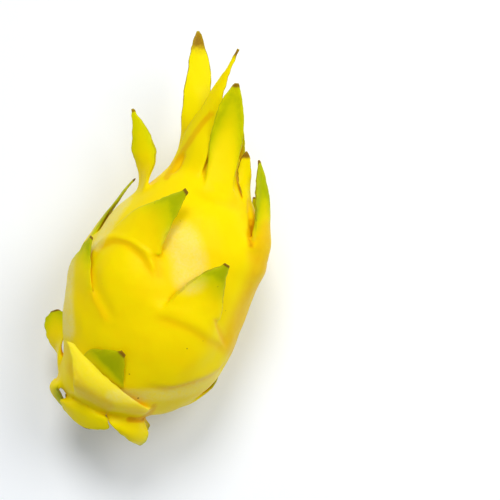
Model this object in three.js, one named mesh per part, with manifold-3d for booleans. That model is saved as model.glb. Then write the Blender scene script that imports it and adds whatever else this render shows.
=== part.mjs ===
// A whole yellow dragon fruit, picked and lying on its side, in millimetres.
// +Y runs along the fruit from the stem end to the crown, +Z is up, and the origin is the middle
// of the small flat spot that it lies on. A place on the fruit is given by its turn in degrees
// round the long axis (0 on top, 90 on the +X side, 180 underneath), its distance along the axis,
// and where needed its radius from the axis.
import * as THREE from "three";
import { mergeVertices } from "three/addons/utils/BufferGeometryUtils.js";
import Module from "manifold-3d";

// Driving dimensions
const AXIS_HEIGHT = 40.4; // from the surface it lies on up to the long axis
const COLUMNS = 48; // faces round the skin
const ROWS_PER_SPAN = 2; // rows of faces between two points of the outline
const STEP = 0.25; // half the height of the step that a scale grows from, in rows
const RESTS_AT = [-3, 1]; // middle of the flat spot, measured from the fruit's own axis

// The skin's outline from the stem scar over the belly to the crown's rim, then down into the
// hollow where the flower sat: distance along the axis, radius. STEM_EDGE and CROWN_RIM are the
// points of it between which the scales grow.
const OUTLINE = [
  [-55, 0.01],
  [-55.5, 7],
  [-59.5, 10.5],
  [-59.5, 17],
  [-54.5, 25],
  [-46, 31],
  [-36.5, 35.4],
  [-27, 38.4],
  [-17, 40.2],
  [-7, 41],
  [3, 40.8],
  [13, 39],
  [22.5, 37.4],
  [31.5, 34.2],
  [40, 29.4],
  [47.5, 23.4],
  [55, 18],
  [63, 14.8],
  [70, 13],
  [75.5, 10.6],
  [74.5, 7.4],
  [66, 6],
  [61, 0.01],
];
const STEM_EDGE = 3;
const CROWN_RIM = 19;

// How far the axis sways towards +X, at even steps along it
const SWAY = [-12, -3.5, -3, -3, 0, 3.4, 1.5, -2];
const SWAY_FROM = -60;
const SWAY_TO = 80;

// What a scale is unless its own line says otherwise.
// width: its greatest width; neck: its width at the root as a share of that; belly: how far up it
// is widest; round, slim: how full its sides stay towards the tip
// lift, lean: how steeply it leaves the skin, and how far sideways; bow: how far it keeps to that
// twist: its turn about its own midline; shear: 1 keeps its width square to the fruit, not to its
// own path; cup: how deeply it is hollowed on its inner face
// pad, run: how far the skin swells up to its root, and how far below the root that begins
// A scale may also give thick, its thickness, which otherwise follows its pad.
const PLAIN = {
  neck: 1,
  belly: 0.08,
  round: 1.3,
  slim: 0.9,
  lift: 12,
  lean: 0,
  bow: 0.45,
  twist: 0,
  shear: 0,
  cup: 0.12,
  pad: 4,
  run: 30,
};

// Every scale: [turn, along] of its root and [turn, along, radius] of its tip
const SCALES = {
  crownLeft: {
    root: [-58, 63], tip: [-76, 118, 20], width: 13, neck: 1.1, belly: 0.4, round: 3.2, lift: 7,
    lean: 10, twist: 62, cup: 0.05, pad: 0.6, run: 14,
  },
  crownHorn: {
    root: [-36, 56], tip: [3, 114, 20], width: 18, belly: 0.3, round: 1.1, slim: 1.5, lift: 16, lean: 14,
    pad: 1.8, run: 20,
  },
  crownBlade: {
    root: [22, 54], tip: [11, 98.5, 25.8], width: 15.5, neck: 0.87, belly: 0.55, round: 1.9, slim: 0.8,
    lift: 26, pad: 2, run: 20,
  },
  crownStub: {
    root: [62, 48], tip: [57, 71.4, 20], width: 8, round: 4, slim: 0.5, lift: 8, twist: -40, pad: 1.5,
    run: 12,
  },
  rightUpper: {
    root: [70, 33], tip: [65, 69, 25.2], width: 11.5, neck: 1.8, belly: 0.25, round: 1.5, lift: 5,
    lean: -14, twist: -40, pad: 5, run: 18,
  },
  leftLeaf: {
    root: [-68, 43], tip: [-71, 74.3, 39.8], width: 15, neck: 0.45, belly: 0.35, lift: 46, twist: 66, pad: 1,
    run: 14,
  },
  leftBack: {
    root: [-97, 14], tip: [-92, 44.8, 32.5], width: 17, neck: 1.15, lift: 6, twist: 10, pad: 3, run: 24,
  },
  topLeft: { root: [-33, 14], tip: [-9, 45.6, 43.3], width: 31, round: 1.05, lean: 26, pad: 5, run: 34 },
  leftSmall: { root: [-60, -8], tip: [-55, 14, 45.5], width: 26, cup: 0.05, pad: 4 },
  topRight: { root: [24, -5], tip: [28, 20, 49], width: 27, lean: 4, pad: 5 },
  leftHook: {
    root: [-98, -42], tip: [-103, -24, 46], width: 13, neck: 1.2, belly: 0.75, round: 12, slim: 0.5,
    lift: 30, bow: 0.4, twist: 64, cup: 0, pad: 2.5, run: 14,
  },
  stemTop: {
    root: [-19, -42], tip: [-9, -30.5, 41.5], width: 27, thick: 1.4, lift: 12, lean: 12, pad: 0.4,
    run: 10,
  },
  stemCollar: {
    root: [1, -53], tip: [-43, -33.5, 45.5], width: 38, lift: 42, lean: -20, bow: 0.42, shear: 1, pad: 3,
    run: 8,
  },
  stemSide: {
    root: [-92, -53], tip: [-100, -66, 18], width: 20, neck: 1.1, thick: 4.5, round: 3, slim: 0.5,
    lift: 124, twist: -12, shear: 1, cup: -0.25, pad: 2, run: 8,
  },
  stemLeft: {
    root: [-32, -58], tip: [-22, -70.5, 13], width: 29, neck: 0.9, belly: 0.4, round: 6, slim: 0.35,
    lift: 80, bow: 0.3, shear: 1, cup: -0.2, pad: 2, run: 8,
  },
  stemRight: {
    root: [45, -58], tip: [97, -73, 20.4], width: 26, round: 1.7, slim: 0.8, lift: 80, shear: 1, cup: -0.15,
    pad: 2, run: 8,
  },
  crownRight: { root: [108, 57], tip: [125, 84, 15], width: 12, belly: 0.3, pad: 1.4, run: 16 },
  crownUnder: { root: [162, 62], tip: [160, 90, 17], width: 12, belly: 0.3, pad: 1.4, run: 16 },
  crownBack: { root: [-125, 60], tip: [-132, 86, 16], width: 12, belly: 0.3, pad: 1.4, run: 16 },
  rightBack: { root: [128, 33], tip: [128, 53, 29], width: 18, pad: 3.5, run: 22 },
  neckUnder: { root: [178, 29], tip: [178, 58, 24], width: 18, pad: 3, run: 20 },
  neckBack: { root: [-138, 28], tip: [-152, 52, 26], width: 18, pad: 3, run: 20 },
  bellyRight: { root: [135, -8], tip: [135, 18, 43], width: 24, pad: 2.5, run: 24 },
  bellyBack: { root: [-136, -12], tip: [-138, 14, 43], width: 24, cup: 0.04, pad: 1.5, run: 24 },
  lowUnder: { root: [177, -46], tip: [177, -34, 38.4], width: 20, lift: 8, pad: 2, run: 14 },
  lowRight: { root: [118, -44], tip: [118, -26, 41], width: 20, pad: 2.5, run: 16 },
  lowBack: { root: [-126, -38], tip: [-124, -18, 42], width: 22, pad: 3, run: 18 },
  stemUnder: { root: [112, -58], tip: [118, -67, 22], width: 16, lift: 80, pad: 2, run: 8 },
  stemLow: { root: [168, -58], tip: [165, -66, 22], width: 16, lift: 80, pad: 2, run: 8 },
  stemBack: {
    root: [-118, -58], tip: [-108, -67, 15], width: 18, lift: 80, cup: -0.1, pad: 2, run: 8,
  },
};

// The withered flower in the crown: where its strips start along the axis, half their thickness,
// and each strip's turn, length, spread from the axis, width and curl
const FLOWER_FOOT = 69;
const FLOWER_THICK = 0.5;
const FLOWER_CORE = 3.8; // radius of the core that they grow from
const FLOWER_STRIPS = [
  [10, 13, 4.4, 3.2, 20],
  [85, 15, 4.8, 3.4, -20],
  [155, 12, 4.2, 3, 20],
  [225, 14, 4.6, 3.2, -16],
  [300, 12, 4.4, 3, 20],
];

// The cut stub of stem in the dimple at the stem end: its radius, and its two ends along the axis
const STEM_RADIUS = 5.7;
const STEM_ENDS = [-56, -64];

// Stations along a scale, as shares of its length, closer together where it ends
const STATIONS = [0.14, 0.3, 0.47, 0.63, 0.78, 0.91, 1];

const { degToRad, lerp, smoothstep } = THREE.MathUtils;
const ROWS = ROWS_PER_SPAN * (OUTLINE.length - 1);
const ROW_LENGTH = 5; // about, on the skin
const outline = new THREE.SplineCurve(OUTLINE.map(([along, radius]) => new THREE.Vector2(along, radius)));
const sway = new THREE.SplineCurve(SWAY.map((x, i) => new THREE.Vector2(i, x)));

function around(turn, along, radius) {
  const share = THREE.MathUtils.clamp((along - SWAY_FROM) / (SWAY_TO - SWAY_FROM), 0, 1);
  const angle = degToRad(turn);
  return new THREE.Vector3(
    sway.getPoint(share).y + radius * Math.sin(angle),
    along,
    AXIS_HEIGHT + radius * Math.cos(angle),
  );
}

// The plain skin at a column and a row of its grid, which need not be whole numbers
function plainSkin(column, row) {
  const { x: along, y: radius } = outline.getPoint(row / ROWS);
  return around((360 * column) / COLUMNS, along, radius);
}

function skinFrame(column, row) {
  const near = 0.05;
  const sideways = plainSkin(column + near, row).sub(plainSkin(column - near, row)).normalize();
  const up = plainSkin(column, row + near).sub(plainSkin(column, row - near)).normalize();
  return { sideways, up, normal: new THREE.Vector3().crossVectors(sideways, up).normalize() };
}

function rowAt(along) {
  let low = STEM_EDGE * ROWS_PER_SPAN;
  let high = CROWN_RIM * ROWS_PER_SPAN;
  for (let i = 0; i < 30; i++) {
    const middle = (low + high) / 2;
    if (outline.getPoint(middle / ROWS).x < along) low = middle;
    else high = middle;
  }
  return low;
}

// The strip of faces that a scale grows from: its first column, how many, and its row
function stripOf(scale) {
  const row = Math.round(rowAt(scale.root[1]) - 0.5);
  const radius = outline.getPoint((row + 0.5) / ROWS).y;
  const count = Math.max(3, Math.round((scale.width * scale.neck * COLUMNS) / (2 * Math.PI * radius)));
  const first = Math.round((scale.root[0] / 360) * COLUMNS - count / 2);
  return { thick: 1 + scale.pad / 2, ...scale, row, first, count, middle: first + count / 2 };
}

const scales = Object.values(SCALES).map((scale) => stripOf({ ...PLAIN, ...scale }));

// A point of the skin's grid, moved to follow the roots of the scales and raised by their pads
function skinPoint(column, row) {
  let shift = 0;
  let swell = 0;
  let dip = 0;
  for (const scale of scales) {
    const away = ((column - scale.middle + 1.5 * COLUMNS) % COLUMNS) - COLUMNS / 2;
    const across = Math.abs(away) / (scale.count / 2);
    if (across >= 2) continue;
    const fade = 0.5 + 0.5 * Math.cos((Math.PI * across) / 2);
    const rows = row - scale.row - 0.5;
    const far = Math.abs(rows) - 0.5;
    shift -= Math.sign(rows) * fade * STEP * Math.exp(-((far / 1.5) ** 2));
    shift -= 0.7 * Math.min(1, across ** 2) * fade * Math.exp(-((far / 3) ** 2));
    if (rows < 0) swell += (scale.pad * fade * Math.exp(-(((far * ROW_LENGTH) / scale.run) ** 2))) ** 4;
    else dip += 0.2 * scale.pad * fade * Math.exp(-((far / 1.2) ** 2));
  }
  const { normal } = skinFrame(column, row);
  return plainSkin(column, row + shift).addScaledVector(normal, swell ** 0.25 - dip);
}

function shareOfWidth(scale, s) {
  const full = lerp(scale.neck, 1, smoothstep(s, 0, scale.belly));
  const q = THREE.MathUtils.clamp((s - scale.belly) / (1 - scale.belly), 0, 1);
  return Math.max(0.1, full * (1 - q ** scale.round) ** scale.slim);
}

// The closed surface, as corners and four-sided faces
const corners = [];
const faces = [];

function corner(point) {
  corners.push(point);
  return corners.length - 1;
}

function growScale(scale, outer, inner) {
  const pick = (ring, k) => corners[ring[k]];
  const low = Math.floor(scale.count / 2);
  const high = Math.ceil(scale.count / 2);
  const start = new THREE.Vector3();
  for (const ring of [outer, inner]) start.add(pick(ring, low)).add(pick(ring, high));
  start.divideScalar(4);
  const { sideways, up, normal } = skinFrame(scale.middle, scale.row + 0.5);
  const heading = up
    .applyAxisAngle(normal, -degToRad(scale.lean))
    .multiplyScalar(Math.cos(degToRad(scale.lift)))
    .addScaledVector(normal, Math.sin(degToRad(scale.lift)));
  const tip = around(...scale.tip);
  const knee = start.clone().addScaledVector(heading, scale.bow * tip.distanceTo(start));
  const path = new THREE.QuadraticBezierCurve3(start, knee, tip);
  const strip = [outer, inner].map((ring) => ring.map((v) => corners[v].clone().sub(start)));
  const side = sideways.clone();
  let before = [outer, inner];
  for (const s of STATIONS) {
    const tangent = path.getTangent(s);
    side.addScaledVector(tangent, -side.dot(tangent) * (1 - scale.shear)).normalize();
    const across = side.clone().applyAxisAngle(tangent, degToRad(scale.twist) * smoothstep(s, 0, 0.7));
    const outward = new THREE.Vector3().crossVectors(across, tangent).normalize();
    const centre = path.getPoint(s);
    const half = 0.5 * scale.width * shareOfWidth(scale, s);
    const now = [1, -1].map((face, ring) =>
      strip[ring].map((fromStrip, k) => {
        const u = (2 * k) / scale.count - 1;
        const depth = scale.thick * (1 - 0.6 * s) * (1 - 0.55 * u * u);
        const section = across.clone().multiplyScalar(half * u);
        section.addScaledVector(outward, (face * depth) / 2 - scale.cup * half * u * u);
        return corner(fromStrip.clone().lerp(section, smoothstep(s, 0, 0.35)).add(centre));
      }),
    );
    wrap(before, now, scale.count);
    before = now;
  }
  const [o, i] = before;
  for (let k = 0; k < scale.count; k++) faces.push([o[k], o[k + 1], i[k + 1], i[k]]);
}

// Faces from one ring of a scale to the next, on its outer side, its inner side and its margins
function wrap([outer, inner], [nextOuter, nextInner], last) {
  for (let k = 0; k < last; k++) {
    faces.push([outer[k], outer[k + 1], nextOuter[k + 1], nextOuter[k]]);
    faces.push([inner[k], nextInner[k], nextInner[k + 1], inner[k + 1]]);
  }
  faces.push([inner[0], outer[0], nextOuter[0], nextInner[0]]);
  faces.push([outer[last], inner[last], nextInner[last], nextOuter[last]]);
}

function growFruit() {
  const grid = [];
  for (let row = 0; row <= ROWS; row++) {
    const { x: along } = outline.getPoint(row / ROWS);
    if (row === 0 || row === ROWS) grid.push(new Array(COLUMNS).fill(corner(around(0, along, 0))));
    else grid.push(Array.from({ length: COLUMNS }, (_, column) => corner(skinPoint(column, row))));
  }
  const index = (column, row) => grid[row][((column % COLUMNS) + COLUMNS) % COLUMNS];
  const taken = new Set();
  for (const scale of scales)
    for (let k = 0; k < scale.count; k++) {
      const key = `${(scale.first + k + COLUMNS) % COLUMNS},${scale.row}`;
      if (taken.has(key)) throw new Error(`two scales grow from ${key}`);
      taken.add(key);
    }
  for (let row = 0; row < ROWS; row++)
    for (let column = 0; column < COLUMNS; column++) {
      if (taken.has(`${column},${row}`)) continue;
      const low = [index(column, row), index(column + 1, row)];
      const face = [...low, index(column + 1, row + 1), index(column, row + 1)];
      faces.push(face.filter((v, k) => face.indexOf(v) === k));
    }
  for (const scale of scales) {
    const columns = Array.from({ length: scale.count + 1 }, (_, k) => scale.first + k);
    growScale(
      scale,
      columns.map((c) => index(c, scale.row)),
      columns.map((c) => index(c, scale.row + 1)),
    );
  }
}

// Where endless smoothing of the faces would bring each corner
function smoothed() {
  const sums = corners.map(() => ({ total: new THREE.Vector3(), count: 0, plain: true }));
  for (const face of faces)
    face.forEach((v, k) => {
      const sum = sums[v];
      sum.count += 1;
      if (face.length !== 4) {
        sum.plain = false;
        return;
      }
      sum.total.addScaledVector(corners[face[(k + 1) % 4]], 2);
      sum.total.addScaledVector(corners[face[(k + 3) % 4]], 2);
      sum.total.add(corners[face[(k + 2) % 4]]);
    });
  return corners.map((point, v) => {
    const { total, count, plain } = sums[v];
    if (!plain) return point;
    return total.addScaledVector(point, count ** 2).divideScalar(count * (count + 5));
  });
}

const wasm = await Module();
wasm.setup();

function solidOf(geometry) {
  const merged = mergeVertices(geometry, 1e-4);
  return new wasm.Manifold(
    new wasm.Mesh({
      numProp: 3,
      vertProperties: new Float32Array(merged.attributes.position.array),
      triVerts: new Uint32Array(merged.index.array),
    }),
  );
}

function geometryOf(solid) {
  const { vertProperties, triVerts } = solid.getMesh();
  const geometry = new THREE.BufferGeometry();
  geometry.setAttribute("position", new THREE.BufferAttribute(new Float32Array(vertProperties), 3));
  geometry.setIndex(new THREE.BufferAttribute(new Uint32Array(triVerts), 1));
  geometry.computeVertexNormals();
  return geometry;
}

function geometryOfPoints(points, triangles) {
  const geometry = new THREE.BufferGeometry();
  const places = points.flatMap((point) => point.toArray());
  geometry.setAttribute("position", new THREE.Float32BufferAttribute(places, 3));
  geometry.setIndex(triangles);
  return geometry;
}

function fruitSolid() {
  growFruit();
  const triangles = faces.flatMap(([a, b, c, d]) => (d === undefined ? [a, b, c] : [a, b, c, a, c, d]));
  return solidOf(geometryOfPoints(smoothed(), triangles));
}

function blockSolid(low, high) {
  const size = new THREE.Vector3().subVectors(high, low);
  const box = new THREE.BoxGeometry(size.x, size.y, size.z);
  box.translate(low.x + size.x / 2, low.y + size.y / 2, low.z + size.z / 2);
  box.deleteAttribute("normal");
  box.deleteAttribute("uv");
  return solidOf(box);
}

// A withered strip of the flower, four corners to a ring, along a path from its foot to its tip
function witheredStrip(turn, length, spread, width, curl) {
  const foot = around(turn, FLOWER_FOOT, FLOWER_CORE / 2);
  const tip = around(turn + curl, FLOWER_FOOT + length, spread);
  const knee = around(turn + curl / 3, FLOWER_FOOT + 0.55 * length, 0.45 * spread);
  const path = new THREE.QuadraticBezierCurve3(foot, knee, tip);
  const side = new THREE.Vector3(Math.cos(degToRad(turn)), 0, -Math.sin(degToRad(turn)));
  const steps = 6;
  const points = [];
  for (let step = 0; step <= steps; step++) {
    const s = step / steps;
    const tangent = path.getTangent(s);
    const across = side.clone().applyAxisAngle(tangent, degToRad(curl * 1.5) * s);
    const outward = new THREE.Vector3().crossVectors(across, tangent).normalize();
    const half = (width / 2) * (1 - 0.75 * s ** 2);
    for (const [a, b] of [[-1, -1], [-1, 1], [1, 1], [1, -1]]) {
      const point = path.getPoint(s).addScaledVector(across, a * half);
      points.push(point.addScaledVector(outward, b * FLOWER_THICK));
    }
  }
  const last = 4 * steps;
  const index = [0, 2, 1, 0, 3, 2, last, last + 1, last + 2, last, last + 2, last + 3];
  for (let ring = 0; ring < steps; ring++)
    for (let k = 0; k < 4; k++) {
      const [a, b] = [4 * ring + k, 4 * ring + ((k + 1) % 4)];
      index.push(a, b + 4, a + 4, a, b, b + 4);
    }
  return solidOf(geometryOfPoints(points, index));
}

// A turned piece about an axis along Y through a point of the fruit's axis
function turned(profile, along, sides) {
  const geometry = new THREE.LatheGeometry(profile.map(([radius, y]) => new THREE.Vector2(radius, y)), sides);
  geometry.deleteAttribute("normal");
  geometry.deleteAttribute("uv");
  const middle = around(0, along, 0);
  geometry.translate(middle.x, 0, middle.z);
  return solidOf(geometry);
}

function driedFlower() {
  const foot = FLOWER_FOOT - 4.4;
  const core = [
    [0, foot],
    [0.63 * FLOWER_CORE, foot + 0.6],
    [FLOWER_CORE, foot + 3.4],
    [FLOWER_CORE, foot + 5.4],
    [0.8 * FLOWER_CORE, foot + 8],
    [0, foot + 9.4],
  ];
  let flower = turned(core, FLOWER_FOOT, 12);
  for (const strip of FLOWER_STRIPS) flower = flower.add(witheredStrip(...strip));
  return flower;
}

function stemStub() {
  const [top, end] = STEM_ENDS;
  const profile = [
    [0, end],
    [0.82 * STEM_RADIUS, end + 0.2],
    [STEM_RADIUS, end + 1.4],
    [0.93 * STEM_RADIUS, (top + end) / 2],
    [STEM_RADIUS, top - 1.4],
    [0.86 * STEM_RADIUS, top - 0.2],
    [0, top],
  ];
  return turned(profile, top, 16);
}

const group = new THREE.Group();

function place(name, solid, color, roughness) {
  const material = new THREE.MeshStandardMaterial({ color, roughness, metalness: 0 });
  const mesh = new THREE.Mesh(geometryOf(solid), material);
  mesh.name = name;
  mesh.position.set(-RESTS_AT[0], -RESTS_AT[1], 0);
  group.add(mesh);
}

const underFloor = blockSolid(new THREE.Vector3(-150, -150, -60), new THREE.Vector3(150, 200, 0));
place("fruit", fruitSolid().subtract(underFloor), 0xf2d000, 0.42);
place("dried_flower", driedFlower(), 0x5a3a1e, 0.9);
place("stem_stub", stemStub(), 0x7c8a3a, 0.8);

export default group;
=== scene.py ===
# A yellow dragon fruit lying on its side on a pale table: the skin with its leafy scales, the
# withered flower in the crown and the cut stub of the stem.
import math

import bmesh
import bpy
import numpy
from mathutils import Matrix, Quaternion, Vector, noise
from mathutils.bvhtree import BVHTree


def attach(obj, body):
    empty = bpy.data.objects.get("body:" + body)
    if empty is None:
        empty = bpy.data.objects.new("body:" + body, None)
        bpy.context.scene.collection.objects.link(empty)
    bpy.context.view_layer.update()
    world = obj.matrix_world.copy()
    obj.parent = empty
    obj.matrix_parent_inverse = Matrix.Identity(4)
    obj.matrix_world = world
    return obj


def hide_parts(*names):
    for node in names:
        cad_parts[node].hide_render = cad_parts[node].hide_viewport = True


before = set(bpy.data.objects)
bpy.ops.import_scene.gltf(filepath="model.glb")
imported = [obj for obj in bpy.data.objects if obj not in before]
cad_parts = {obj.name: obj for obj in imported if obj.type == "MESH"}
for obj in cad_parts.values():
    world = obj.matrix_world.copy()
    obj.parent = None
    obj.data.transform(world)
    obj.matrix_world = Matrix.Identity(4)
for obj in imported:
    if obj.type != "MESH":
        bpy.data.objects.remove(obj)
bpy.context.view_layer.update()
bpy.ops.object.select_all(action="DESELECT")
noise.seed_set(1)  # the same unevenness each run
mm = 0.001  # shapes are written in millimetres, and Blender's own unit is the metre


# Small helpers

def smoothStep(value, low, high):
    share = min(1.0, max(0.0, (value - low) / (high - low)))
    return share * share * (3 - 2 * share)


def smoothSteps(values, low, high):  # the same, on an array
    share = numpy.clip((values - low) / (high - low), 0, 1)
    return share * share * (3 - 2 * share)


def bell(value, width):  # 1 in the middle, and almost nothing two widths away
    return math.exp(-((value / width) ** 2))


def bells(values, width):  # the same, on an array
    return numpy.exp(-((values / width) ** 2))


def splinePoint(points, share):  # a smooth curve through evenly counted points
    last = len(points) - 1
    place = min(max(share, 0.0), 1.0) * last
    i = min(int(place), last - 1)
    t = place - i
    before, start = points[max(i - 1, 0)], points[i]
    end, after = points[i + 1], points[min(i + 2, last)]
    point = []
    for p0, p1, p2, p3 in zip(before, start, end, after):
        v0 = (p2 - p0) / 2
        v1 = (p3 - p1) / 2
        curve = (2 * p1 - 2 * p2 + v0 + v1) * t ** 3
        point.append(curve + (-3 * p1 + 3 * p2 - 2 * v0 - v1) * t ** 2 + v0 * t + p1)
    return point


def deselectAll():
    bpy.ops.object.select_all(action="DESELECT")


def pick(piece):
    deselectAll()
    piece.select_set(True)
    bpy.context.view_layer.objects.active = piece


def applyModifier(piece, kind, **settings):
    pick(piece)
    modifier = piece.modifiers.new(kind.title(), kind)
    for name, value in settings.items():
        setattr(modifier, name, value)
    bpy.ops.object.modifier_apply(modifier=modifier.name)


def readPoints(piece):
    flat = numpy.empty(len(piece.data.vertices) * 3)
    piece.data.vertices.foreach_get("co", flat)
    return flat.reshape(-1, 3) / mm


def writePoints(piece, points):
    piece.data.vertices.foreach_set("co", (points * mm).ravel())
    piece.data.update()


def readNormals(piece):
    flat = numpy.empty(len(piece.data.vertices) * 3)
    piece.data.vertex_normals.foreach_get("vector", flat)
    return flat.reshape(-1, 3)


def readLayer(piece, name):
    values = numpy.empty(len(piece.data.vertices))
    piece.data.attributes[name].data.foreach_get("value", values)
    return values


def writeLayer(piece, name, values):
    layers = piece.data.attributes
    layer = layers[name] if name in layers else layers.new(name, "FLOAT", "POINT")
    layer.data.foreach_set("value", values.astype(numpy.float32))


# Shader maths: a socket of a material, with arithmetic on it
class Value:
    def __init__(self, tree, socket=None):
        self.tree = tree
        self.socket = socket

    def make(self, kind, settings=None, inputs=None, output=0):
        node = self.tree.nodes.new(kind)
        for name, setting in (settings or {}).items():
            if name == "stops":
                ramp = node.color_ramp
                while len(ramp.elements) < len(setting):
                    ramp.elements.new(0.5)
                for element, (place, colour) in zip(ramp.elements, setting):
                    element.position = place
                    element.color = (*colour, 1)
            else:
                setattr(node, name, setting)
        for name, value in (inputs or {}).items():
            if isinstance(value, Value):
                self.tree.links.new(value.socket, node.inputs[name])
            else:
                node.inputs[name].default_value = value
        return Value(self.tree, node.outputs[output])

    def maths(self, operation, *others):
        inputs = dict(enumerate((self, *others)))
        return self.make("ShaderNodeMath", {"operation": operation}, inputs)

    def __add__(self, other):
        return self.maths("ADD", other)

    def __sub__(self, other):
        return self.maths("SUBTRACT", other)

    def __rsub__(self, other):
        return self.maths("MULTIPLY_ADD", -1.0, other)

    def __mul__(self, other):
        return self.maths("MULTIPLY", other)

    def __truediv__(self, other):
        return self.maths("DIVIDE", other)

    __radd__ = __add__
    __rmul__ = __mul__

    def between(self, low, high):  # 0 below low, 1 above high, smooth from one to the other
        settings = {"interpolation_type": "SMOOTHSTEP"}
        return self.make("ShaderNodeMapRange", settings, {0: self, 1: low, 2: high, 3: 0.0, 4: 1.0})

    def clamped(self):
        return self.make("ShaderNodeClamp", None, {0: self})

    def layer(self, name):  # a number painted on the piece's points
        return self.make("ShaderNodeAttribute", {"attribute_name": name}, None, 2)

    def place(self, scale=(1, 1, 1)):  # where on the object, stretched by scale
        where = self.make("ShaderNodeTexCoord", None, None, 3)
        return self.make("ShaderNodeMapping", None, {"Vector": where, "Scale": scale})

    def cloud(self, size, detail=3, stretch=(1, 1, 1)):  # soft noise with grains of that size in mm
        inputs = {"Vector": self.place(stretch), "Scale": 1 / (size * mm), "Detail": detail}
        return self.make("ShaderNodeTexNoise", None, inputs)

    def spots(self, size, stretch=(1, 1, 1)):  # distance from scattered points about that far apart
        inputs = {"Vector": self.place(stretch), "Scale": 1 / (size * mm)}
        return self.make("ShaderNodeTexVoronoi", None, inputs)

    def bump(self, height, strength, size):  # the relief of a height, size in mm
        inputs = {"Strength": strength, "Distance": size * mm, "Height": height}
        return self.make("ShaderNodeBump", None, inputs)

    def blend(self, other, share):  # this colour, turned into another by share
        inputs = {0: share, 6: self, 7: other}
        return self.make("ShaderNodeMix", {"data_type": "RGBA"}, inputs, 2)


def newMaterial(name, **settings):  # settings: numbers that are the same all over
    material = bpy.data.materials.new(name)
    material.use_nodes = True
    shader = material.node_tree.nodes["Principled BSDF"]
    for socket, value in settings.items():
        shader.inputs[socket.replace("_", " ")].default_value = value
    return material, Value(material.node_tree), shader


def feed(material, shader, name, value):
    material.node_tree.links.new(value.socket, shader.inputs[name])


def srgb(red, green, blue):  # a colour as read on a screen, 0 to 255
    def light(level):
        level = level / 255
        return level / 12.92 if level <= 0.04045 else ((level + 0.055) / 1.055) ** 2.4
    return (light(red), light(green), light(blue), 1)


# The fruit. A place on it is given by its turn in degrees round the long axis (0 on top, 90 on the
# +X side), its distance along the axis and its radius, in millimetres.
fruitPlan = {
    "axisHeight": 40.4,
    "restsAt": (-3, 1),  # middle of the flat spot, from the fruit's own axis
    "columns": 48,
    "rowsPerSpan": 2,
    "rowLength": 5,  # about how far apart the rows are
    "step": 0.25,  # half the height of the step that a scale grows from, in rows
    "stepReach": 1.5,  # how far around it the rows follow, in rows
    "arch": (0.7, 3),  # how far a root arches back at its sides, and how far the rows follow that
    "dip": (0.2, 1.2),  # the share of its pad that the skin dips by past a scale, and for how far
    "stemEdge": 3,  # which point of the outline is the edge of the stem's dimple
    "crownRim": 19,  # and which is the rim of the crown's hollow
    # the bare skin, from the dimple to the hollow: how far along the axis, and its radius
    "outline": [
        (-55, 0.01), (-55.5, 7), (-59.5, 10.5), (-59.5, 17), (-54.5, 25), (-46, 31), (-36.5, 35.4),
        (-27, 38.4), (-17, 40.2), (-7, 41), (3, 40.8), (13, 39), (22.5, 37.4), (31.5, 34.2),
        (40, 29.4), (47.5, 23.4), (55, 18), (63, 14.8), (70, 13), (75.5, 10.6), (74.5, 7.4),
        (66, 6), (61, 0.01),
    ],
    # how far the axis sways to +X, evenly from one place along it to the other
    "sway": [-12, -3.5, -3, -3, 0, 3.4, 1.5, -2],
    "swayFrom": -60,
    "swayTo": 80,
    "stations": [0.14, 0.3, 0.47, 0.63, 0.78, 0.91, 1],  # where along a scale its sections are
    "twistedBy": 0.7,  # where along a scale its twist is complete
    "formedBy": 0.35,  # and where its section no longer follows the skin that it grew from
    "leastWidth": 0.1,  # of a section, as a share of the scale's width
    "thinning": (0.6, 0.55),  # the share of its thickness that is gone at the tip, and at the margins
    "levels": 2,
}

# How a scale grows unless its own line says otherwise: its width at root and belly, how full it
# stays, how it leaves the skin, how it turns and cups, and the pad that swells up to it. green
# says how strong its green is, from where along it, and how much further down its margins. brown
# is for its margins, and scorch is the share of its length that has dried brown at the tip.
plainScale = {
    "neck": 1, "belly": 0.08, "round": 1.3, "slim": 0.9, "lift": 12, "lean": 0, "bow": 0.45,
    "twist": 0, "shear": 0, "cup": 0.12, "pad": 4, "run": 30, "green": (0.9, 0.35, 0.3), "brown": 0.4,
    "scorch": 0.07,
}

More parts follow.
